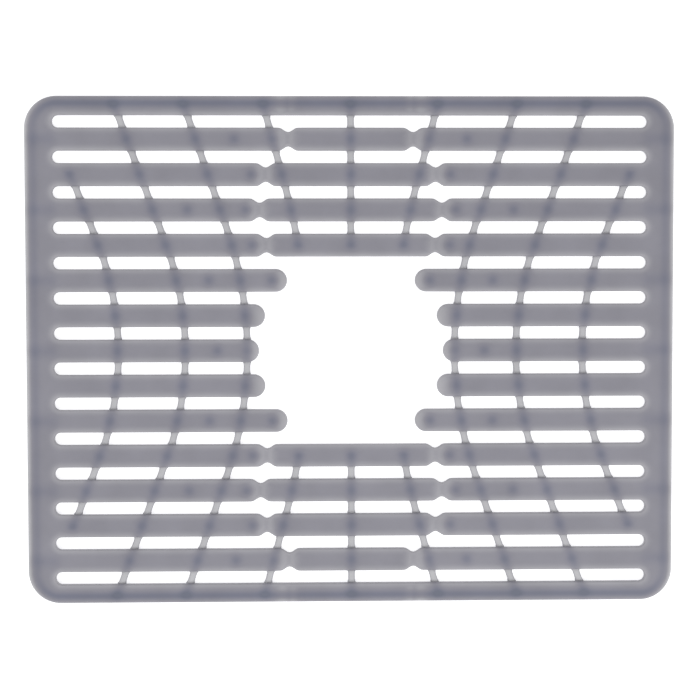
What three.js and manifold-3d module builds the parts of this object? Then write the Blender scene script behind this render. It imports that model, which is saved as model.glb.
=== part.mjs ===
// Silicone sink mat: thirteen slats across a flat frame, a drain opening in the middle, curved ribs
// underneath and small feet that hold the mat off the sink floor.
// Millimetres. +X along the slats, +Y to the rear edge, +Z up, and the feet stand on z = 0.
// The mat bends along its slots, so the frame and the ribs are parted there, one rigid body a slat.

import * as THREE from "three";
import { mergeVertices } from "three/addons/utils/BufferGeometryUtils.js";
import Module from "manifold-3d";

// Driving dimensions
const lengthX = 413;
const widthY = 323;
const pitch = 22.36;
const slatCount = 13;
const slotWidth = 7.8;
const railWidth = 17.6;
const cornerRadius = 20.5;

// Heights above the sink floor
const topZ = 6.0;
const slatBottomZ = 2.4;
const ribTopZ = 3.6;
const ribBottomZ = 1.2;
const beadBottomZ = 1.1;
const joinDepth = 0.4;

// Ribs, feet and the bead under the frame
const ribWidth = 4.3;
const footRadius = 3.0;
const footSides = 8;
const railFootLength = 15.5;
const railFootWidth = 5.0;
const beadInset = 3.0;
const beadWidth = 4.5;

// Necks where the middle of a slat can be cut away
const neckWidth = 9.1;
const neckHalfLength = 6.0;

// Clearances between neighbouring solids
const bendGap = 1.0;
const cutGap = 0.3;

// Steps of the round stretches
const slotEndSteps = 3;
const roundEndSteps = 4;
const neckSteps = 4;
const cornerSteps = 6;

// Sizes that follow from the ones above
const halfX = lengthX / 2;
const halfY = widthY / 2;
const halfSlat = (pitch - slotWidth) / 2;
const slotRadius = slotWidth / 2;
const slotArcX = halfX - railWidth - slotRadius;
const bendY = (pitch - bendGap) / 2;
const middleRow = (slatCount + 1) / 2;
const rimSlotY = (slatCount * pitch) / 2;

// Distance from the middle of the necks of slats 1 to 4, and of the round ends of slats 5 to 7 beside
// the drain opening. Slats 8 to 13 mirror slats 6 to 1.
const neckX = [39.7, 54.0, 58.0, 53.7];
const roundEndX = [40.7, 54.8, 58.7];

// Ribs: distance from the middle at y = 0, radius of the curve, slope at which it runs on straight,
// and the stretch of y that the rib covers in each half
const ribEndY = 156;
const ribs = [
  { x: 148.4, radius: 195, slope: 0.39, from: 0, to: 5 * pitch },
  { x: 105.8, radius: 200, slope: 0.365, from: 0, to: ribEndY },
  { x: 66.3, radius: 245, slope: 0.344, from: 0, to: ribEndY },
  { x: 27.9, radius: 400, slope: 0.265, from: 3 * pitch, to: ribEndY },
  { x: 0, radius: 400, slope: 0, from: 3 * pitch, to: ribEndY },
];

// Feet between the ribs of slats 1 to 7, as distances from the middle
const looseFeetX = [[73.9], [62.8], [66.4, 103.6], [62.4], [50.0, 90.4], [], [85.1]];

const slatSilicone = new THREE.MeshStandardMaterial({ color: "#8f8d98", roughness: 0.55, metalness: 0 });
const rimSilicone = new THREE.MeshStandardMaterial({ color: "#83828d", roughness: 0.55, metalness: 0 });

const wasm = await Module();
wasm.setup();

// A closed geometry as a manifold solid
function solidOf(geometry) {
  geometry.deleteAttribute("normal");
  geometry.deleteAttribute("uv");
  const merged = mergeVertices(geometry, 1e-4);
  const vertProperties = new Float32Array(merged.attributes.position.array);
  const triVerts = new Uint32Array(merged.index.array);
  return new wasm.Manifold(new wasm.Mesh({ numProp: 3, vertProperties, triVerts }));
}

// The joined solids as one named mesh
function meshOf(solids, name, material) {
  const joined = solids.reduce((whole, solid) => whole.add(solid));
  const { vertProperties, triVerts } = joined.getMesh();
  const geometry = new THREE.BufferGeometry();
  geometry.setAttribute("position", new THREE.BufferAttribute(vertProperties, 3));
  geometry.setIndex(new THREE.BufferAttribute(triVerts, 1));
  geometry.computeVertexNormals();
  const mesh = new THREE.Mesh(geometry, material);
  mesh.name = name;
  return mesh;
}

// Solid between two heights over a flat outline
function plate(outline, bottom, top) {
  const geometry = new THREE.ExtrudeGeometry(new THREE.Shape(outline), {
    depth: top - bottom,
    bevelEnabled: false,
  });
  geometry.translate(0, 0, bottom);
  return solidOf(geometry);
}

function block(x, y, sizeX, sizeY, bottom, top) {
  const geometry = new THREE.BoxGeometry(sizeX, sizeY, top - bottom);
  geometry.translate(x, y, (bottom + top) / 2);
  return solidOf(geometry);
}

function foot(x, y) {
  const height = slatBottomZ + joinDepth;
  const geometry = new THREE.CylinderGeometry(footRadius, footRadius, height, footSides);
  geometry.rotateX(Math.PI / 2);
  geometry.translate(x, y, height / 2);
  return solidOf(geometry);
}

// Points of an arc, both ends included
function arc(x, y, radius, startAngle, endAngle, steps) {
  return Array.from({ length: steps + 1 }, (_, i) => {
    const angle = startAngle + ((endAngle - startAngle) * i) / steps;
    return new THREE.Vector2(x + radius * Math.cos(angle), y + radius * Math.sin(angle));
  });
}

// Slat 1 is the rearmost
function rowY(row) {
  return (middleRow - row) * pitch;
}

// Slats 1 to 7 hold the shapes that slats 13 to 7 mirror
function shapeOf(row) {
  return Math.min(row, slatCount + 1 - row) - 1;
}

function hasMiddle(row) {
  return shapeOf(row) < neckX.length;
}

// The notch on each side of a neck is one wave of a cosine
function neckHalfWidth(distance) {
  const depth = halfSlat - neckWidth / 2;
  return halfSlat - (depth * (1 + Math.cos((Math.PI * distance) / neckHalfLength))) / 2;
}

// Lower edge of a slat from a neck's cut to the full width, in the direction of growing or falling x
function neckEdge(x, direction) {
  return Array.from({ length: neckSteps + 1 }, (_, i) => {
    const distance = cutGap / 2 + ((neckHalfLength - cutGap / 2) * i) / neckSteps;
    return new THREE.Vector2(x + direction * distance, -neckHalfWidth(distance));
  });
}

// Lower edge of a round end beside the drain opening, from its tip
function roundEdge(x) {
  return arc(x + halfSlat, 0, halfSlat, Math.PI, Math.PI * 1.5, roundEndSteps);
}

// Quarter of a slot's round end, from the straight edge to the bend line
function slotEnd(slotY) {
  return arc(slotArcX, slotY, slotRadius, Math.PI / 2, Math.asin(bendGap / slotWidth), slotEndSteps);
}

// Outline made of a lower edge and its reflection in the slat's centre line
function closeAcross(lower) {
  const upper = lower.map((point) => new THREE.Vector2(point.x, -point.y)).reverse();
  return [...lower, ...upper.filter((point) => point.y !== 0)];
}

// A flat outline moved to its slat, on the right (side 1) or mirrored to the left (side -1)
function placed(outline, side, y) {
  return outline.map((point) => new THREE.Vector2(side * point.x, y + point.y));
}

// Right-hand end of a slat with its length of the side rail
function endOutline(row) {
  const shape = shapeOf(row);
  const inner = hasMiddle(row) ? neckEdge(neckX[shape], 1) : roundEdge(roundEndX[shape - neckX.length]);
  const railEdge = new THREE.Vector2(halfX, -bendY);
  return closeAcross([...inner, ...slotEnd(-pitch / 2), railEdge]);
}

// Middle of a slat between its two necks
function middleOutline(row) {
  const x = neckX[shapeOf(row)];
  return closeAcross([...neckEdge(-x, 1), ...neckEdge(x, -1).reverse()]);
}

// Path along the right-hand edge from the first bend line and round the rear corner, at an inset from
// the outer edge
function cornerPath(inset) {
  const radius = cornerRadius - inset;
  const corner = arc(halfX - cornerRadius, halfY - cornerRadius, radius, 0, Math.PI / 2, cornerSteps);
  const start = Math.max(rimSlotY + bendGap / 2, corner[0].y);
  return [new THREE.Vector2(halfX - inset, start), ...corner.filter((point) => point.y > start)];
}

// A right-hand path followed by its reflection on the left
function mirroredPath(right) {
  const left = right.map((point) => new THREE.Vector2(-point.x, point.y)).reverse();
  return [...right, ...left];
}

// Distance of a rib from the middle: a circle's arc, then its tangent
function ribX(rib, y) {
  const straightFrom = (rib.radius * rib.slope) / Math.hypot(1, rib.slope);
  const onArc = Math.min(Math.abs(y), straightFrom);
  const arcX = rib.x + rib.radius - Math.sqrt(rib.radius ** 2 - onArc ** 2);
  return arcX + rib.slope * (Math.abs(y) - onArc);
}

// Stretch of a rib between two values of y, ending square to Y
function ribStretch(rib, side, start, end) {
  const slope = (ribX(rib, end) - ribX(rib, start)) / (end - start);
  const halfWidth = (ribWidth / 2) * Math.hypot(1, slope);
  const corner = (y, offset) => new THREE.Vector2(side * (ribX(rib, y) + offset), y);
  const startEdge = [corner(start, halfWidth), corner(start, -halfWidth)];
  const endEdge = [corner(end, -halfWidth), corner(end, halfWidth)];
  return plate([...startEdge, ...endEdge], ribBottomZ, ribTopZ);
}

// Ribs and feet under the part of a slat that lies between two distances from the middle. A rib that
// begins or ends under the slat stops at the foot on its centre line.
function underside(row, side, nearX, farX) {
  const y = rowY(row);
  const sign = Math.sign(y) || 1;
  const inSpan = (x) => x >= nearX && x < farX;
  const crossing = ribs.filter((rib) => {
    const reached = Math.abs(y) >= rib.from - 1e-6 && Math.abs(y) <= rib.to + 1e-6;
    return reached && inSpan(ribX(rib, y)) && (rib.x > 0 || side > 0);
  });
  const stretches = crossing.map((rib) => {
    const startsHere = rib.from > 0 && Math.abs(y) - bendY < rib.from;
    const endsHere = Math.abs(y) + bendY > rib.to;
    const inner = startsHere ? y : y - sign * bendY;
    const outer = endsHere ? y : y + sign * bendY;
    return ribStretch(rib, side, Math.min(inner, outer), Math.max(inner, outer));
  });
  const feetX = [...crossing.map((rib) => ribX(rib, y)), ...looseFeetX[shapeOf(row)].filter(inSpan)];
  return [...stretches, ...feetX.map((x) => foot(side * x, y))];
}

// End of a slat: plate, bead under the rail, foot bar under every other rail, ribs and feet
function slatEnd(row, side) {
  const y = rowY(row);
  const top = plate(placed(endOutline(row), side, y), slatBottomZ, topZ);
  const beadX = side * (halfX - beadInset - beadWidth / 2);
  const railJoinZ = slatBottomZ + joinDepth;
  const solids = [top, block(beadX, y, beadWidth, 2 * bendY, beadBottomZ, railJoinZ)];
  if (row % 2 === 1) {
    const footX = side * (halfX - beadInset - railFootLength / 2);
    solids.push(block(footX, y, railFootLength, railFootWidth, 0, railJoinZ));
  }
  const innerX = hasMiddle(row) ? neckX[shapeOf(row)] : 0;
  return [...solids, ...underside(row, side, innerX, halfX)];
}

function slatMiddle(row) {
  const top = plate(placed(middleOutline(row), 1, rowY(row)), slatBottomZ, topZ);
  const outerX = neckX[shapeOf(row)];
  return [top, ...underside(row, 1, 0, outerX), ...underside(row, -1, 0, outerX)];
}

// Rear rim (side 1) or front rim (side -1) with its two corners
function rim(side) {
  const slotRight = [...slotEnd(rimSlotY), new THREE.Vector2(halfX, rimSlotY + bendGap / 2)];
  const outline = mirroredPath([...slotRight, ...cornerPath(0).slice(1)]);
  const beadInner = mirroredPath(cornerPath(beadInset + beadWidth)).reverse();
  const bead = [...mirroredPath(cornerPath(beadInset)), ...beadInner];
  const turned = (points) => points.map((point) => new THREE.Vector2(side * point.x, side * point.y));
  const solids = [
    plate(turned(outline), slatBottomZ, topZ),
    plate(turned(bead), beadBottomZ, slatBottomZ + joinDepth),
  ];
  for (const rib of ribs.filter((candidate) => candidate.to === ribEndY)) {
    for (const half of rib.x > 0 ? [1, -1] : [1]) {
      const start = rimSlotY + bendGap / 2;
      const ends = [side * start, side * ribEndY].sort((a, b) => a - b);
      solids.push(ribStretch(rib, half, ...ends));
      solids.push(foot(half * ribX(rib, ribEndY), side * ribEndY));
    }
  }
  return solids;
}

const group = new THREE.Group();
group.name = "sink_mat";
group.add(meshOf(rim(1), "rim_rear", rimSilicone));
for (let row = 1; row <= slatCount; row++) {
  const name = `slat_${String(row).padStart(2, "0")}`;
  group.add(meshOf(slatEnd(row, -1), `${name}_left`, slatSilicone));
  if (hasMiddle(row)) {
    group.add(meshOf(slatMiddle(row), `${name}_middle`, slatSilicone));
  }
  group.add(meshOf(slatEnd(row, 1), `${name}_right`, slatSilicone));
}
group.add(meshOf(rim(-1), "rim_front", rimSilicone));

export default group;
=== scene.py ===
import math

import bpy
import bmesh
import numpy as np
from mathutils import Matrix, Vector


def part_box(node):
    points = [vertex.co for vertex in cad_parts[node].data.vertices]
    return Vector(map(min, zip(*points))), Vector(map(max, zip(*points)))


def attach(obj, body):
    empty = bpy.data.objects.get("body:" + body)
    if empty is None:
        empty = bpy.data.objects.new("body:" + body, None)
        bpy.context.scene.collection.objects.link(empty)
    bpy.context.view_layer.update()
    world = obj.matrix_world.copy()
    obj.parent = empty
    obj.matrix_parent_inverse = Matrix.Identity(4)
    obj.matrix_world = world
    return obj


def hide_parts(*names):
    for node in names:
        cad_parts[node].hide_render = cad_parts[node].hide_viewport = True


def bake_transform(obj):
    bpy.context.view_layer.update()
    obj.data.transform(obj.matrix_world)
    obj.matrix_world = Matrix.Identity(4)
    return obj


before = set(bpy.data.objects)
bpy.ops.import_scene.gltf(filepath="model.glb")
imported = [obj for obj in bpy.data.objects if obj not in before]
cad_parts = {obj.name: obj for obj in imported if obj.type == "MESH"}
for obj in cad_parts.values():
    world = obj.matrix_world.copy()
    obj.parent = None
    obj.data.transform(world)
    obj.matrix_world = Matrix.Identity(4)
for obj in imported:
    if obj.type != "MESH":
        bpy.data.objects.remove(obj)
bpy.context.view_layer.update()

# A slatted silicone sink mat. Shapes are worked out in millimetres and written to the meshes in metres.
mm = 0.001

slatNodes = [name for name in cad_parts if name.startswith("slat_")]
slatCount = len({name[5:7] for name in slatNodes})
middleRows = {int(name[5:7]) for name in slatNodes if name.endswith("middle")}


def boxInMm(node):
    # lowest and highest corner of a solid
    low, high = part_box(node)
    return np.array(low) / mm, np.array(high) / mm


rowY = {row: float(sum(corner[1] for corner in boxInMm(f"slat_{row:02d}_left"))) / 2
        for row in range(1, slatCount + 1)}
halfX, halfY, topZ = (float(value) for value in boxInMm("rim_rear")[1])
pitch = (rowY[1] - rowY[slatCount]) / (slatCount - 1)
print(f"frame: {slatCount} slats, pitch {pitch:.2f} mm, half size {halfX:.1f} x {halfY:.1f} mm")

# Plan of the mat, the same as the solids'
plan = {
    "slot": 7.8,            # width of a slot
    "rail": 17.6,           # outer edge to the end of a slot
    "corner": 20.5,         # outer corner radius
    "seamX": 178.0,         # where a slat's soft piece meets the rail's
    "neckWidth": 9.1,       # slat left between the notches of a neck
    "neckReach": 6.0,       # half length of a notch
}
slab = {
    "bottom": 2.4,
    "topRound": 1.1,        # rounding along slot edges
    "bottomRound": 0.7,
    "dome": 0.3,            # how much lower a slat is at its edges
    "domeReach": 5.0,
    "neckTop": 0.35,        # recess of the thin web at a neck, above and below
    "neckBottom": 0.5,
}
outerEdge = {
    "band": 7.5,            # width that the edge's own profile covers
    "topRound": 2.3,
    "bottomRound": 1.1,
    "roundLines": 5,        # steps round the top edge
    "flatLines": 7,         # steps over the band's top
    "bridgeLines": 4,       # steps from the band to the slats' edges
    "beadMiddle": 5.25,     # bead under the frame, from the outer edge
    "beadHalf": 2.3,
    "beadDrop": 1.3,
}
halfSlat = (pitch - plan["slot"]) / 2
slotRadius = plan["slot"] / 2
slotArcX = halfX - plan["rail"] - slotRadius

# Necks of slats 1 to 4 and round ends of slats 5 to 7, from the middle; slats 8 to 13 mirror them
neckX = [39.7, 54.0, 58.0, 53.7]
roundEndX = [40.7, 54.8, 58.7]

# Ribs: place at y = 0, radius of the curve, slope of the straight run, stretch of y in each half
ribs = [
    {"x": 148.4, "radius": 195, "slope": 0.39, "from": 0, "to": 5 * pitch},
    {"x": 105.8, "radius": 200, "slope": 0.365, "from": 0, "to": 156},
    {"x": 66.3, "radius": 245, "slope": 0.344, "from": 0, "to": 156},
    {"x": 27.9, "radius": 400, "slope": 0.265, "from": 3 * pitch, "to": 156},
    {"x": 0.0, "radius": 400, "slope": 0.0, "from": 3 * pitch, "to": 156},
]
ribShape = {
    "halfWidth": 2.15, "low": 1.2, "high": 3.55,
    "flare": 0.7, "flareOut": 2.2, "flareIn": 1.4,      # wider where it meets a slat's side
    "square": 0.62,         # 1 is a round section, less is squarer
    "step": 0.7,
}

# Feet between the ribs of slats 1 to 7
looseFeetX = [[73.9], [62.8], [66.4, 103.6], [62.4], [50.0, 90.4], [], [85.1]]
footShape = {"radius": 2.75, "round": 0.6, "flare": 0.9, "height": 2.75}
railFoot = {"inner": 188.0, "outer": 203.5, "radius": 2.5}
inRim = halfY - 10
endReach, endWeight = 12, 1.25      # loose feet this near a slat's inner end look this much thicker


def smoothStep(value, low, high):
    # 0 below low, 1 above high, 3t^2 - 2t^3 between them
    t = np.clip((value - low) / (high - low), 0, 1)
    return t * t * (3 - 2 * t)


def shapeOf(row):
    # slats are alike in pairs, counted from the rims to the middle slat
    return min(row, slatCount + 1 - row) - 1


def ribX(rib, y):
    # an arc of a circle that starts along Y, then its tangent once the slope is reached
    straightFrom = rib["radius"] * rib["slope"] / math.hypot(1, rib["slope"])
    away = np.abs(y)
    onArc = np.minimum(away, straightFrom)
    arcX = rib["x"] + rib["radius"] - np.sqrt(rib["radius"] ** 2 - onArc ** 2)
    return arcX + rib["slope"] * (away - onArc)


def crossings(row):
    # distances from the middle at which ribs cross a slat
    y = rowY[row]
    met = [rib for rib in ribs if rib["from"] - 0.1 <= abs(y) <= rib["to"] + 0.1]
    return [float(ribX(rib, y)) for rib in met]


def innerEnd(row):
    # where a slat's right-hand end begins: its neck, or its round end beside the drain opening
    shape = shapeOf(row)
    return neckX[shape] if shape < len(neckX) else roundEndX[shape - len(neckX)]


def footPlaces():
    # every round foot as (x, y, weight): crossings, loose feet and rib ends in the rims
    places = []
    for row in range(1, slatCount + 1):
        nearEnd = innerEnd(row) + endReach
        loose = [(x, endWeight if x < nearEnd else 1.0) for x in looseFeetX[shapeOf(row)]]
        for x, weight in [(x, 1.0) for x in crossings(row)] + loose:
            places += [(side * x, rowY[row], weight) for side in ((1, -1) if x > 1 else (1,))]
    for rib in ribs:
        if rib["to"] > inRim:
            x = float(ribX(rib, rib["to"]))
            for y in (rib["to"], -rib["to"]):
                places += [(side * x, y, 1.0) for side in ((1, -1) if x > 1 else (1,))]
    return np.array(places)


feet = footPlaces()
barRows = [row for row in range(1, slatCount + 1) if row % 2]


# Thickness of silicone that the light crosses, in mm. It sets the colour of every piece: painted
# through-light, paler where thin, darker where deep.
glow = {
    "slab": 3.6,
    "slatEdge": 0.85, "slatReach": 2.6,                     # less at a slot's edge
    "roundEnd": 1.1, "roundEndReach": 8.0,                  # less at a slat's inner end
    "neckIn": 0.57, "neckInAt": -2.0, "neckInReach": 3.6,   # less on either side of a neck
    "neckOut": 0.72, "neckOutAt": 4.6, "neckOutReach": 5.0,
    # the outer edge's rounding is thinner, so paler; the far larger loss on the rails than on the rims,
    # whose edges share one profile, is a painted highlight on the side rails' edges
    "railEdge": 1.55, "rimEdge": 0.45, "outerReach": 2.7,   # less at the outer edge
    # the bead below is the same on rails and rims; the rims' far deeper band is the bead plus painted shade
    # on the rims
    "railBead": 0.65, "rimBeadAndShade": 1.5, "railBeadAt": 6.0, "rimBeadAt": 4.8, "beadReach": 2.6,
    "rib": 0.95, "ribReach": 3.0,
    "foot": 1.25, "footReach": 3.6, "footSide": 4.5,
    "bar": 0.6, "barReach": 4.4,
    "web": 0.1,
    # a rib's sides are painted darker than its middle: painted shade for the dark edges that a rounded bar
    # of clear silicone shows
    "ribInSlot": 2.05, "ribSideShade": 0.7, "ribFlare": 0.3,
}


def bell(distance, reach, power=2):
    # 1 at no distance, falling as e to the minus power of distance over reach
    return np.exp(-(np.abs(distance) / reach) ** power)


def mixed(low, high, share):
    # straight from low at no share to high at a whole one
    return low + (high - low) * share


def outerDistance(x, y):
    # distance to the frame's outer edge, a rounded rectangle, and how far that edge belongs to a rim
    overX = np.abs(x) - (halfX - plan["corner"])
    overY = np.abs(y) - (halfY - plan["corner"])
    outX, outY = np.maximum(overX, 0), np.maximum(overY, 0)
    away = plan["corner"] - np.hypot(outX, outY) - np.minimum(np.maximum(overX, overY), 0)
    return away, outY ** 2 / np.maximum(outX ** 2 + outY ** 2, 1e-6)


def depthBelow(x, y):
    # ribs, feet and foot bars under a point, each softened by the silicone above it
    ribPart = np.zeros_like(x)
    for rib in ribs:
        lean = np.hypot(1, np.where(np.abs(y) > 1, rib["slope"], 0) * 0.8)
        covered = smoothStep(np.abs(y), rib["from"] - 2.5, rib["from"] - 0.5) if rib["from"] else 1
        covered = covered * (1 - smoothStep(np.abs(y), rib["to"] + 1, rib["to"] + 3))
        away = (np.abs(x) - ribX(rib, y)) / lean
        ribPart = np.maximum(ribPart, bell(away, glow["ribReach"]) * covered)
    footPart = np.zeros_like(x)
    for footX, footY, weight in feet:
        near = (np.abs(x - footX) < 9) & (np.abs(y - footY) < 9)
        away = np.hypot(x[near] - footX, y[near] - footY)
        footPart[near] = np.maximum(footPart[near], weight * bell(away, glow["footReach"]))
    barPart = np.zeros_like(x)
    middle, reach = (railFoot["inner"] + railFoot["outer"]) / 2, (railFoot["outer"] - railFoot["inner"]) / 2
    along = np.maximum(np.abs(np.abs(x) - middle) - reach + railFoot["radius"], 0)
    for row in barRows:
        barPart = np.maximum(barPart, bell(np.hypot(along, y - rowY[row]), glow["barReach"]))
    return np.hypot(glow["rib"] * ribPart, glow["foot"] * footPart) + glow["bar"] * barPart


slatEnds = np.array([innerEnd(row) for row in range(1, slatCount + 1)])
slatHasNeck = np.array([row in middleRows for row in range(1, slatCount + 1)])


def endLoss(x, y):
    # a bell along a slat from its round end, or the higher of two bells, one on each side of its neck
    row = np.clip(np.round((rowY[1] - y) / pitch), 0, slatCount - 1).astype(int)
    beyond = np.abs(x) - slatEnds[row]
    inLoss = glow["neckIn"] * bell(beyond - glow["neckInAt"], glow["neckInReach"])
    outLoss = glow["neckOut"] * bell(beyond - glow["neckOutAt"], glow["neckOutReach"])
    roundLoss = glow["roundEnd"] * bell(beyond, glow["roundEndReach"]) * (beyond > -1)
    return np.where(slatHasNeck[row], np.maximum(inLoss, outLoss), roundLoss)


def lightDepth(x, y, fromSlot=math.inf):
    # the slab, thinner to the light at its rounded edges, with the bead and all that is below it
    away, toRim = outerDistance(x, y)
    beadAt = mixed(glow["railBeadAt"], glow["rimBeadAt"], toRim)
    # the bead's band, with painted shade that makes it darker on the rims than on the rails
    bead = mixed(glow["railBead"], glow["rimBeadAndShade"], toRim) * bell(away - beadAt, glow["beadReach"])
    # outer edge painted paler where thin, with a painted highlight that makes the side rails' edges paler
    # than the rims'
    outer = mixed(glow["railEdge"], glow["rimEdge"], toRim) * bell(away, glow["outerReach"], 3)
    inner = np.maximum(glow["slatEdge"] * bell(fromSlot, glow["slatReach"]), endLoss(x, y))
    return glow["slab"] + bead - outer - inner + depthBelow(x, y)


def gridQuads(lines, across, closeAcross=False):
    # quads between neighbouring lines and neighbouring points on them
    index = np.arange(lines * across).reshape(lines, across)
    if closeAcross:
        index = np.concatenate([index, index[:, :1]], axis=1)
    corners = [index[:-1, :-1], index[1:, :-1], index[1:, 1:], index[:-1, 1:]]
    return np.stack([corner.ravel() for corner in corners], axis=1)


def gridPart(points, paintedLightDepth, closeAcross=False):
    # a part is its points, its quads and the thickness at each point
    lines, across = points.shape[:2]
    return points.reshape(-1, 3), gridQuads(lines, across, closeAcross), paintedLightDepth.reshape(-1)


def capPart(loop, paintedLightDepth):
    # flat wall inside a profile that runs out along the top and back along the bottom
    half = loop.shape[0] // 2
    wall = np.stack([loop[:half], loop[::-1][:half]])
    depth = np.stack([paintedLightDepth[:half], paintedLightDepth[::-1][:half]])
    return gridPart(wall, depth)


def bandParts(points, paintedLightDepth):
    # a band with a flat wall at each end
    ends = [capPart(points[end], paintedLightDepth[end]) for end in (0, -1)]
    return [gridPart(points, paintedLightDepth)] + ends


def mirrored(part, signX=-1, signY=1):
    # the part with x and y multiplied by a sign each
    points, quads, paintedLightDepth = part
    return points * np.array([signX, signY, 1]), quads, paintedLightDepth


def makePiece(name, parts, material):
    # welds points that coincide, leaves out quads that fold to a line and turns every face outward
    counts = np.cumsum([0] + [len(part[0]) for part in parts])
    points = np.concatenate([part[0] for part in parts])
    quads = np.concatenate([part[1] + start for part, start in zip(parts, counts)])
    paintedLightDepth = np.concatenate([part[2] for part in parts])
    keys = np.round(points / 0.002).astype(np.int64)
    _, first, owner = np.unique(keys, axis=0, return_index=True, return_inverse=True)
    faces = owner.reshape(-1)[quads]
    keep = faces != np.roll(faces, -1, axis=1)
    sides = keep.sum(axis=1)
    whole = sides >= 3
    faces, keep, sides = faces[whole], keep[whole], sides[whole]
    loops = faces[keep].astype(np.int32)
    starts = np.concatenate([[0], np.cumsum(sides)[:-1]]).astype(np.int32)

    mesh = bpy.data.meshes.new(name)
    mesh.vertices.add(len(first))
    mesh.vertices.foreach_set("co", (points[first] * mm).astype(np.float32).ravel())
    mesh.loops.add(len(loops))
    mesh.loops.foreach_set("vertex_index", loops)
    mesh.polygons.add(len(sides))
    mesh.polygons.foreach_set("loop_start", starts)
    mesh.update(calc_edges=True)
    mesh.validate()
    work = bmesh.new()
    work.from_mesh(mesh)
    bmesh.ops.recalc_face_normals(work, faces=work.faces)
    work.to_mesh(mesh)
    work.free()
    # each point's thickness, which the material turns into painted through-light
    layer = mesh.attributes.new("paintedLightDepth", "FLOAT", "POINT")
    layer.data.foreach_set("value", paintedLightDepth[first].astype(np.float32))
    mesh.shade_smooth()
    mesh.set_sharp_from_angle(angle=math.radians(50))
    mesh.materials.append(material)
    piece = bpy.data.objects.new(name, mesh)
    bpy.context.scene.collection.objects.link(piece)
    return piece


def rounding(distance, radius):
    # how far a quarter circle has fallen at a distance from the edge
    inside = np.minimum(distance, radius)
    return radius - np.sqrt(np.maximum(radius ** 2 - (radius - inside) ** 2, 0))


flatSteps, roundSteps = 8, 4    # over a slat's flat and round its edges


def edgeBand(edge, inward, reach, web=None):
    # from a slat's free edge inward: over the top, round the edge and back below, as far as reach;
    # the height falls by a quarter circle at the edge and by a parabola towards it
    quarter = np.sin(np.linspace(0, math.pi / 2, roundSteps + 1))
    share = np.linspace(1, 0, flatSteps + 1)[:-1]
    topR, lowR = slab["topRound"], slab["bottomRound"]
    flatTop = topR + (reach[:, None] - topR) * share
    flatLow = lowR + (reach[:, None] - lowR) * share[::-1]
    ones = np.ones((len(edge), 1))
    distance = np.concatenate(
        [flatTop, ones * topR * (1 - quarter), ones * lowR * (1 - quarter)[::-1], flatLow], axis=1)
    flat = edge[:, None, :] + inward[:, None, :] * distance[:, :, None]
    dome = slab["dome"] * (1 - np.minimum(distance / slab["domeReach"], 1)) ** 2
    upper = topZ - rounding(distance, topR) - dome
    lower = slab["bottom"] + rounding(distance, lowR)
    isTop = np.arange(distance.shape[1]) < flatSteps + roundSteps + 1
    z = np.where(isTop, upper, lower)
    paintedLightDepth = lightDepth(flat[:, :, 0], flat[:, :, 1], distance)
    if web is not None:
        thin = web(flat[:, :, 0], flat[:, :, 1])
        z = z + thin * np.where(isTop, -slab["neckTop"], slab["neckBottom"])
        paintedLightDepth = paintedLightDepth - glow["web"] * thin
    return np.concatenate([flat, z[:, :, None]], axis=2), paintedLightDepth


# distances from the outer edge at which the bead's profile is taken
beadSteps = outerEdge["beadMiddle"] + np.array([-3.05, -2.35, -1.85, -1.05, 0, 1.05, 1.85, 2.05])


def frameBand(start, outer, inward):
    # from where an edge band ends out to the frame's outer edge, over it and back below: the top
    # rounds over, and below it runs the bead, a smooth ridge
    band, topR, lowR = outerEdge["band"], outerEdge["topRound"], outerEdge["bottomRound"]
    bridgeLines = outerEdge["bridgeLines"]
    quarter = np.sin(np.linspace(0, math.pi / 2, outerEdge["roundLines"] + 1))
    flatTop = np.linspace(band, topR, outerEdge["flatLines"] + 1)[:-1]
    topE = np.concatenate([flatTop, topR * (1 - quarter)])
    lowE = np.concatenate([lowR * (1 - quarter[::-1][[0, 1, 3, 5]]), beadSteps, [band]])
    gap = np.linspace(0, 1, bridgeLines + 1)[:-1, None, None]
    atBand = outer + inward * band
    bridge = (start + (atBand - start) * gap).transpose(1, 0, 2)
    topRun = outer[:, None, :] + inward[:, None, :] * topE[None, :, None]
    lowRun = outer[:, None, :] + inward[:, None, :] * lowE[None, :, None]
    flat = np.concatenate([bridge, topRun, lowRun, bridge[:, ::-1]], axis=1)
    bridgeE = np.full(bridgeLines, band)
    distance = np.concatenate([bridgeE, topE, lowE, bridgeE])
    bead = smoothStep(outerEdge["beadHalf"] - np.abs(distance - outerEdge["beadMiddle"]), 0, 0.9)
    isTop = np.arange(len(distance)) < bridgeLines + len(topE)
    upper = topZ - rounding(distance, topR)
    lower = slab["bottom"] + rounding(distance, lowR) - outerEdge["beadDrop"] * bead
    z = np.where(isTop, upper, lower)
    z = np.repeat(z[None, :], len(start), axis=0)
    paintedLightDepth = lightDepth(flat[:, :, 0], flat[:, :, 1])
    return np.concatenate([flat, z[:, :, None]], axis=2), paintedLightDepth


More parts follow.
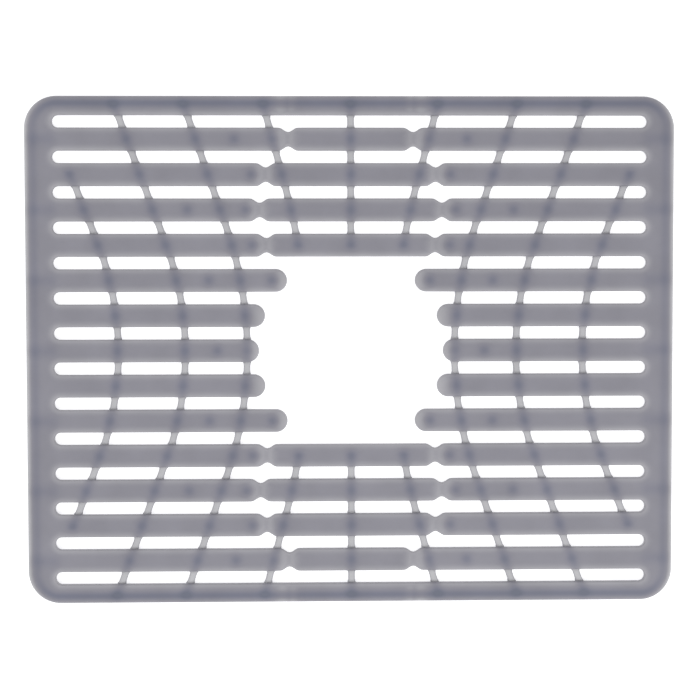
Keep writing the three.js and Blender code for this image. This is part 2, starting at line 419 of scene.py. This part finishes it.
def pad(x, y, reach, radius):
    # a foot: rings of a stadium outline that round in below, flare out into the slat above and
    # close on the middle line
    turn = np.linspace(0, 2 * math.pi, 24, endpoint=False)
    around = np.stack([np.cos(turn), np.sin(turn)], axis=1)
    middle = np.where(around[:, :1] >= 0, reach, -reach) * np.array([1, 0])
    fillet, flare = footShape["round"], footShape["flare"]
    arc = np.linspace(0, math.pi / 2, 4)
    size = np.concatenate([[0, (radius - fillet) / 2], radius - fillet + fillet * np.sin(arc),
                           [radius, radius + 0.2 * flare, radius + flare, radius + flare, 0]])
    height = np.concatenate([[0, 0], fillet - fillet * np.cos(arc),
                             [1.5, 2.0, slab["bottom"] + 0.02, footShape["height"], footShape["height"]]])
    flat = middle + size[:, None, None] * around + np.array([x, y])
    z = np.repeat(height[:, None], len(turn), axis=1)
    points = np.concatenate([flat, z[:, :, None]], axis=2)
    depth = np.minimum(lightDepth(flat[:, :, 0], flat[:, :, 1]), glow["footSide"])
    return gridPart(points, depth, closeAcross=True)


neckWeb = {"tip": 2.8, "length": 7.0, "from": -2.9, "to": 1.0}


def webOf(row):
    # the thin web of a neck: what lies outside the rounded ends of the thicker slat on either side
    neck = innerEnd(row)

    def web(x, y):
        along = np.clip((np.abs(np.abs(x) - neck) - neckWeb["tip"]) / neckWeb["length"], 0, 1)
        beyond = np.abs(y - rowY[row]) - halfSlat * np.sqrt(1 - (1 - along) ** 2)
        return smoothStep(beyond, neckWeb["from"], neckWeb["to"]) * (1 - smoothStep(along, 0.3, 1))

    return web


def nodeGroup(name, inputs, outputs):
    # an empty group with its sockets, its input node and its output node
    tree = bpy.data.node_groups.new(name, "ShaderNodeTree")
    for label, kind in inputs:
        tree.interface.new_socket(name=label, in_out="INPUT", socket_type=kind)
    for label, kind in outputs:
        tree.interface.new_socket(name=label, in_out="OUTPUT", socket_type=kind)
    return tree, tree.nodes.new("NodeGroupInput"), tree.nodes.new("NodeGroupOutput")


def linear(colour):
    # sRGB 0 to 255 to linear 0 to 1
    share = np.array(colour) / 255
    return tuple(np.where(share < 0.04045, share / 12.92, ((share + 0.055) / 1.055) ** 2.4)) + (1.0,)


def mouldGrain():
    # fine matt grain of the mould and slow waves in it, as a height and a roughness
    tree, inputs, outputs = nodeGroup(
        "mouldGrain",
        [("Grain size", "NodeSocketFloat"), ("Roughness", "NodeSocketFloat")],
        [("Height", "NodeSocketFloat"), ("Roughness", "NodeSocketFloat")])
    coords = tree.nodes.new("ShaderNodeTexCoord")
    grain = tree.nodes.new("ShaderNodeTexNoise")
    grain.inputs["Detail"].default_value = 3
    waves = tree.nodes.new("ShaderNodeTexNoise")
    waves.inputs["Scale"].default_value = 90
    mix = tree.nodes.new("ShaderNodeMath")
    mix.operation = "MULTIPLY_ADD"
    mix.inputs[1].default_value = 2.5
    spread = tree.nodes.new("ShaderNodeMath")
    spread.operation = "MULTIPLY_ADD"
    spread.inputs[1].default_value = 0.12
    tree.links.new(coords.outputs["Object"], grain.inputs["Vector"])
    tree.links.new(coords.outputs["Object"], waves.inputs["Vector"])
    tree.links.new(inputs.outputs["Grain size"], grain.inputs["Scale"])
    tree.links.new(waves.outputs["Fac"], mix.inputs[0])
    tree.links.new(grain.outputs["Fac"], mix.inputs[2])
    tree.links.new(grain.outputs["Fac"], spread.inputs[0])
    tree.links.new(inputs.outputs["Roughness"], spread.inputs[2])
    tree.links.new(mix.outputs[0], outputs.inputs["Height"])
    tree.links.new(spread.outputs[0], outputs.inputs["Roughness"])
    return tree


deepest = 7.0       # thickness at the far end of the colour ramp, mm
depthColours = [
    (2.0, (196, 196, 199)), (2.6, (173, 172, 177)), (3.1, (157, 156, 163)), (3.6, (143, 142, 151)),
    (4.3, (132, 132, 144)), (5.0, (120, 122, 137)), (5.8, (110, 114, 129)),
]


def throughLight():
    # painted through-light: colour by thickness, pale where the silicone is thin, darker and bluer where it
    # is deep, with a slow cloudiness of its own
    tree, inputs, outputs = nodeGroup(
        "throughLight", [("Brightness", "NodeSocketFloat")], [("Color", "NodeSocketColor")])
    depth = tree.nodes.new("ShaderNodeAttribute")
    depth.attribute_name = "paintedLightDepth"
    share = tree.nodes.new("ShaderNodeMath")
    share.operation = "DIVIDE"
    share.inputs[1].default_value = deepest
    ramp = tree.nodes.new("ShaderNodeValToRGB")
    for number, (depthMm, colour) in enumerate(depthColours):
        stop = ramp.color_ramp.elements[number] if number < 2 else ramp.color_ramp.elements.new(1)
        stop.position = depthMm / deepest
        stop.color = linear(colour)
    coords = tree.nodes.new("ShaderNodeTexCoord")
    cloud = tree.nodes.new("ShaderNodeTexNoise")
    cloud.inputs["Scale"].default_value = 45
    cloud.inputs["Detail"].default_value = 4
    level = tree.nodes.new("ShaderNodeMapRange")
    level.inputs["To Min"].default_value = 0.95
    level.inputs["To Max"].default_value = 1.05
    level.inputs["From Min"].default_value = 0.3
    level.inputs["From Max"].default_value = 0.7
    lift = tree.nodes.new("ShaderNodeMath")
    lift.operation = "MULTIPLY"
    shade = tree.nodes.new("ShaderNodeVectorMath")
    shade.operation = "SCALE"
    tree.links.new(depth.outputs["Fac"], share.inputs[0])
    tree.links.new(share.outputs[0], ramp.inputs["Fac"])
    tree.links.new(coords.outputs["Object"], cloud.inputs["Vector"])
    tree.links.new(cloud.outputs["Fac"], level.inputs["Value"])
    tree.links.new(level.outputs["Result"], lift.inputs[0])
    tree.links.new(inputs.outputs["Brightness"], lift.inputs[1])
    tree.links.new(ramp.outputs["Color"], shade.inputs[0])
    tree.links.new(lift.outputs[0], shade.inputs["Scale"])
    tree.links.new(shade.outputs["Vector"], outputs.inputs["Color"])
    return tree


grainGroup, lightGroup = mouldGrain(), throughLight()


def silicone(name, look):
    # matt silicone whose colour is painted through-light from its thickness, with the mould's grain as
    # roughness and bump
    material = bpy.data.materials.new(name)
    material.use_nodes = True
    tree = material.node_tree
    shader = tree.nodes["Principled BSDF"]
    shader.inputs["IOR"].default_value = 1.41
    shader.inputs["Specular IOR Level"].default_value = look["gloss"]
    shader.inputs["Sheen Weight"].default_value = look["sheen"]
    shader.inputs["Sheen Roughness"].default_value = 0.5
    colour = tree.nodes.new("ShaderNodeGroup")
    colour.node_tree = lightGroup
    colour.inputs["Brightness"].default_value = look["brightness"]
    grain = tree.nodes.new("ShaderNodeGroup")
    grain.node_tree = grainGroup
    grain.inputs["Grain size"].default_value = look["grainSize"]
    grain.inputs["Roughness"].default_value = look["roughness"]
    bump = tree.nodes.new("ShaderNodeBump")
    bump.inputs["Distance"].default_value = look["bump"] * mm
    bump.inputs["Strength"].default_value = 0.6
    tree.links.new(colour.outputs["Color"], shader.inputs["Base Color"])
    tree.links.new(grain.outputs["Roughness"], shader.inputs["Roughness"])
    tree.links.new(grain.outputs["Height"], bump.inputs["Height"])
    tree.links.new(bump.outputs["Normal"], shader.inputs["Normal"])
    return material


slatLook = {
    "brightness": 1.0, "roughness": 0.46, "grainSize": 2200, "bump": 0.06, "gloss": 0.4, "sheen": 0.05}
slatSilicone = silicone("slatSilicone", slatLook)
rimSilicone = silicone("rimSilicone", {**slatLook, "roughness": 0.44})
ribSilicone = silicone("ribSilicone", {**slatLook, "roughness": 0.5, "grainSize": 2600})
print("materials: silicone of the slats, rims and ribs")


def stations(low, high, step=1.25):
    # evenly spaced places from low to high, about a step apart
    return np.linspace(low, high, max(2, int(round((high - low) / step)) + 1))


def neckHalfWidth(row, x):
    # the notch on each side is one wave of a cosine
    away = np.abs(np.abs(x) - innerEnd(row)) / plan["neckReach"]
    notch = (halfSlat - plan["neckWidth"] / 2) / 2 * (1 + np.cos(math.pi * np.minimum(away, 1)))
    return halfSlat - notch


def straightSlat(row, low, high):
    # two edge bands back to back, with a flat wall at each end
    x = stations(low, high)
    width = neckHalfWidth(row, x)
    parts = []
    for side in (1, -1):
        edge = np.stack([x, rowY[row] + side * width], axis=1)
        inward = np.repeat([[0.0, -side]], len(x), axis=0)
        parts += bandParts(*edgeBand(edge, inward, width, webOf(row)))
    return parts


def roundSlat(row):
    # one edge band that runs out along the slat, round its half circle and back
    centreX = innerEnd(row) + halfSlat
    x = stations(centreX, plan["seamX"])
    turn = np.linspace(math.pi / 2, 3 * math.pi / 2, 25)[1:-1]
    bend = np.stack([np.cos(turn), np.sin(turn)], axis=1)
    upper = np.stack([x[::-1], np.full(len(x), halfSlat)], axis=1)
    lower = np.stack([x, np.full(len(x), -halfSlat)], axis=1)
    edge = np.concatenate([upper, bend * halfSlat + np.array([centreX, 0]), lower])
    away = np.concatenate([np.repeat([[0, 1]], len(x), axis=0), bend, np.repeat([[0, -1]], len(x), axis=0)])
    edge = edge + np.array([0, rowY[row]])
    return bandParts(*edgeBand(edge, -away, np.full(len(edge), halfSlat)))


def feetUnder(row, low, high):
    # the feet of a slat between two values of x
    chosen = (np.abs(feet[:, 1] - rowY[row]) < 1) & (feet[:, 0] >= low) & (feet[:, 0] < high)
    return [pad(x, y, 0, footShape["radius"]) for x, y in feet[chosen, :2]]


def footBar(row):
    # the long foot under the right-hand rail
    reach = (railFoot["outer"] - railFoot["inner"]) / 2 - railFoot["radius"]
    return [pad((railFoot["outer"] + railFoot["inner"]) / 2, rowY[row], reach, railFoot["radius"])]


for row in range(1, slatCount + 1):
    body, end = f"row_{row:02d}", innerEnd(row)
    if row in middleRows:
        right = straightSlat(row, end, plan["seamX"])
        middle = straightSlat(row, -end, end) + feetUnder(row, -end, end)
        piece = makePiece(f"slatMiddle{row:02d}", middle, slatSilicone)
        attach(piece, body)
        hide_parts(f"slat_{row:02d}_middle")
    else:
        right = roundSlat(row)
    right += feetUnder(row, end, halfX)
    if row in barRows:
        right += footBar(row)
    for side, word in ((1, "Right"), (-1, "Left")):
        parts = [mirrored(part, side) for part in right]
        piece = makePiece(f"slat{word}{row:02d}", parts, slatSilicone)
        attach(piece, body)
        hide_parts(f"slat_{row:02d}_{word.lower()}")
print("slats: ends, middles, feet and foot bars")


def railParts(lowY, highY):
    # edge bands along the two half slats and round the slot's end, and the frame band beyond it:
    # its lines leave the circle through the slats' middle lines and run straight out
    slotY = (lowY + highY) / 2
    turn = np.linspace(-math.pi / 2, math.pi / 2, 41)
    bend = np.stack([np.cos(turn), np.sin(turn)], axis=1)
    x = stations(plan["seamX"], slotArcX)[:-1]
    lower = np.stack([x, np.full(len(x), slotY - slotRadius)], axis=1)
    upper = np.stack([x[::-1], np.full(len(x), slotY + slotRadius)], axis=1)
    edge = np.concatenate([lower, bend * slotRadius + np.array([slotArcX, slotY]), upper])
    below, above = np.repeat([[0, -1.0]], len(x), axis=0), np.repeat([[0, 1.0]], len(x), axis=0)
    inward = np.concatenate([below, bend, above])
    points, paintedLightDepth = edgeBand(edge, inward, np.full(len(edge), halfSlat))
    parts = bandParts(points, paintedLightDepth)
    for stretch in (slice(0, len(x) + 1), slice(len(edge) - len(x) - 1, len(edge))):
        parts.append(gridPart(points[stretch][:, [0, -1]], paintedLightDepth[stretch][:, [0, -1]]))
    outer = np.stack([np.full(len(turn), halfX), slotY + (highY - lowY) / 2 * np.sin(turn)], axis=1)
    start = bend * (slotRadius + halfSlat) + np.array([slotArcX, slotY])
    return parts + bandParts(*frameBand(start, outer, np.repeat([[-1.0, 0]], len(turn), axis=0)))


def slotBlend(piece):
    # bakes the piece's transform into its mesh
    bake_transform(piece)


for row in range(2, slatCount + 1):
    parts = railParts(rowY[row], rowY[row - 1])
    for side, word in ((1, "Right"), (-1, "Left")):
        sideParts = [mirrored(part, side) for part in parts]
        piece = makePiece(f"rail{word}{row:02d}", sideParts, rimSilicone)
        slotBlend(piece)
print("side rails")


# How the rim's bands share the half turn round the slot's end, in radians
rimTurn = {
    "bandGap": 0.3,         # left between the slot's band and the frame's along the rim, mm
    "narrowTo": -0.3,       # the slot's band has its width along the rim from here on
    "alongRail": 1.15,      # the frame's band runs up the rail, then round the corner
    "alongRim": 0.05,       # and at last along the rim
}


def rimParts():
    # the same bands as a rail's, but the frame band turns the corner and runs along the rim
    slotY = rowY[1] + pitch / 2
    turn = np.linspace(-math.pi / 2, math.pi / 2, 61)
    bend = np.stack([np.cos(turn), np.sin(turn)], axis=1)
    x = stations(plan["seamX"], slotArcX)[:-1]
    bar = stations(0, slotArcX)[:-1][::-1]
    lower = np.stack([x, np.full(len(x), slotY - slotRadius)], axis=1)
    upper = np.stack([bar, np.full(len(bar), slotY + slotRadius)], axis=1)
    edge = np.concatenate([lower, bend * slotRadius + np.array([slotArcX, slotY]), upper])
    below, above = np.repeat([[0, -1.0]], len(x), axis=0), np.repeat([[0, 1.0]], len(bar), axis=0)
    inward = np.concatenate([below, bend, above])
    narrow = halfY - slotY - slotRadius - outerEdge["band"] - rimTurn["bandGap"]
    reach = mixed(halfSlat, narrow, smoothStep(turn, -math.pi / 2, rimTurn["narrowTo"]))
    reach = np.concatenate([np.full(len(x), halfSlat), reach, np.full(len(bar), narrow)])
    points, paintedLightDepth = edgeBand(edge, inward, reach)
    half = [gridPart(points, paintedLightDepth), capPart(points[0], paintedLightDepth[0])]
    half.append(gridPart(points[:len(x) + 1][:, [0, -1]], paintedLightDepth[:len(x) + 1][:, [0, -1]]))

    radius = plan["corner"]
    centre = np.array([halfX - radius, halfY - radius])
    railTurn, rimRun = rimTurn["alongRail"], rimTurn["alongRim"]
    turned = turn + math.pi / 2
    rise = np.clip(turned / railTurn, 0, 1)
    swing = np.clip((turned - railTurn) / (math.pi - railTurn - rimRun), 0, 1) * math.pi / 2
    run = np.clip((turn - math.pi / 2 + rimRun) / rimRun, 0, 1)
    away = np.stack([np.cos(swing), np.sin(swing)], axis=1)
    outer = centre + radius * away
    outer[:, 1] -= (centre[1] - rowY[1]) * (1 - rise)
    outer[:, 0] -= (centre[0] - slotArcX) * run
    outer = np.concatenate([outer, np.stack([bar, np.full(len(bar), halfY)], axis=1)])
    away = np.concatenate([away, np.repeat([[0, 1.0]], len(bar), axis=0)])
    start = (edge + inward * reach[:, None])[len(x):]
    points, paintedLightDepth = frameBand(start, outer, -away)
    half += [gridPart(points, paintedLightDepth), capPart(points[0], paintedLightDepth[0])]
    ends = feet[feet[:, 1] > inRim, :2]
    return half + [mirrored(part) for part in half] + [pad(*place, 0, footShape["radius"]) for place in ends]


rimSide = rimParts()
for side, word, node, row in ((1, "Rear", "rim_rear", 1), (-1, "Front", "rim_front", slatCount)):
    sideParts = [mirrored(part, 1, side) for part in rimSide]
    piece = makePiece(f"rim{word}", sideParts, rimSilicone)
    low = (0, side * (rowY[1] + halfSlat) * mm, topZ * mm / 2)
    high = (0, side * (rowY[1] + halfSlat + plan["slot"]) * mm, topZ * mm / 2)
    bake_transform(piece)
    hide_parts(node)
print("rims and corners")


def ribLength(rib, side, low, high, slotY):
    # a squared ring swept along the rib; it flares where it meets a slat's side
    y = stations(low, high, ribShape["step"])
    centre = side * ribX(rib, y)
    slope = np.gradient(ribX(rib, y), y)
    inSlot = slotRadius - np.abs(y - slotY)
    reach = np.where(inSlot > 0, ribShape["flareOut"], -ribShape["flareIn"])
    flare = np.clip(1 - inSlot / reach, 0, 1) ** 2
    half = (ribShape["halfWidth"] + ribShape["flare"] * flare) * np.hypot(1, slope)
    turn = np.linspace(0, 2 * math.pi, 20, endpoint=False)
    across = np.sign(np.cos(turn)) * np.abs(np.cos(turn)) ** ribShape["square"]
    rise = np.sign(np.sin(turn)) * np.abs(np.sin(turn)) ** ribShape["square"]
    middleZ, halfZ = (ribShape["low"] + ribShape["high"]) / 2, (ribShape["high"] - ribShape["low"]) / 2
    x = centre[:, None] + half[:, None] * across
    z = np.repeat((middleZ + halfZ * rise)[None, :], len(y), axis=0)
    points = np.stack([x, np.repeat(y[:, None], len(turn), axis=1), z], axis=2)
    below = smoothStep(-inSlot, 0.0, 1.2)[:, None]
    # the rib's sides get extra depth, painted shade that darkens them
    thin = glow["ribInSlot"] + glow["ribSideShade"] * across[None, :] ** 4 + glow["ribFlare"] * flare[:, None]
    paintedLightDepth = mixed(thin, lightDepth(x, points[:, :, 1]), below)
    ends = [np.repeat(points[end].mean(axis=0)[None, :], len(turn), axis=0)[None] for end in (0, -1)]
    points = np.concatenate([ends[0], points, ends[1]])
    paintedLightDepth = np.concatenate([paintedLightDepth[:1], paintedLightDepth, paintedLightDepth[-1:]])
    return gridPart(points, paintedLightDepth, closeAcross=True)


# One piece of ribs a slot, from the feet on one side of it to the feet on the other
ribEndY = max(rib["to"] for rib in ribs)
lines = [ribEndY] + [rowY[row] for row in range(1, slatCount + 1)] + [-ribEndY]
for slot in range(1, slatCount + 2):
    high, low = lines[slot - 1], lines[slot]
    near, far = min(abs(low), abs(high)), max(abs(low), abs(high))
    slotY = (slatCount / 2 + 1 - slot) * pitch
    parts = []
    for rib in ribs:
        if rib["from"] - 0.1 <= near and far <= rib["to"] + 0.1:
            parts += [ribLength(rib, side, low, high, slotY) for side in ((1, -1) if rib["x"] else (1,))]
    piece = makePiece(f"ribs{slot:02d}", parts, ribSilicone)
    slotBlend(piece)
print("ribs")


studio = {"floor": (0.86, 0.86, 0.87), "floorGlow": 0.6, "sky": 0.61, "key": 9.0, "fill": 3.0}
floorMesh = bpy.data.meshes.new("floor")
floorMesh.from_pydata([(-3, -3, 0), (3, -3, 0), (3, 3, 0), (-3, 3, 0)], [], [(0, 1, 2, 3)])
floor = bpy.data.objects.new("floor", floorMesh)
bpy.context.scene.collection.objects.link(floor)
floorMaterial = bpy.data.materials.new("paleFloor")
floorMaterial.use_nodes = True
floorShader = floorMaterial.node_tree.nodes["Principled BSDF"]
floorShader.inputs["Base Color"].default_value = (*studio["floor"], 1)
floorShader.inputs["Roughness"].default_value = 0.9
floorShader.inputs["Specular IOR Level"].default_value = 0.1
floorShader.inputs["Emission Color"].default_value = (1, 1, 1, 1)
floorShader.inputs["Emission Strength"].default_value = studio["floorGlow"]
floorMesh.materials.append(floorMaterial)

world = bpy.data.worlds.new("softSky")
world.use_nodes = True
world.node_tree.nodes["Background"].inputs["Color"].default_value = (1, 1, 1, 1)
world.node_tree.nodes["Background"].inputs["Strength"].default_value = studio["sky"]
bpy.context.scene.world = world


def softbox(name, place, size, power):
    # a square lamp that faces the middle of the mat
    lamp = bpy.data.lights.new(name, "AREA")
    lamp.size = size
    lamp.energy = power
    holder = bpy.data.objects.new(name, lamp)
    holder.location = place
    holder.rotation_euler = (-Vector(place)).to_track_quat("-Z", "Y").to_euler()
    bpy.context.scene.collection.objects.link(holder)


softbox("keyLight", (0.5, -0.9, 1.3), 0.9, studio["key"])
softbox("fillLight", (-0.9, 0.1, 1.1), 1.0, studio["fill"])

# The camera looks down on the mat from 0.8 m, a little turned and tilted
view = {"away": 800.0, "turn": (2.02, 1.13, 0.16), "shift": (0.71, -0.28), "lens": 64.47, "plane": 5.0}
turning = (Matrix.Rotation(math.radians(view["turn"][2]), 3, "Z")
           @ Matrix.Rotation(math.radians(view["turn"][1]), 3, "Y")
           @ Matrix.Rotation(math.radians(view["turn"][0]), 3, "X"))
back = turning.transposed()
place = back @ -Vector((*view["shift"], -view["away"])) + Vector((0, 0, view["plane"]))
lens = bpy.data.cameras.new("camera")
lens.lens = view["lens"]
lens.sensor_width = 36
camera = bpy.data.objects.new("camera", lens)
camera.matrix_world = Matrix.Translation(place * mm) @ back.to_4x4()
bpy.context.scene.collection.objects.link(camera)
bpy.context.scene.camera = camera
bpy.context.scene.view_settings.view_transform = "Standard"
print("floor, light and camera")
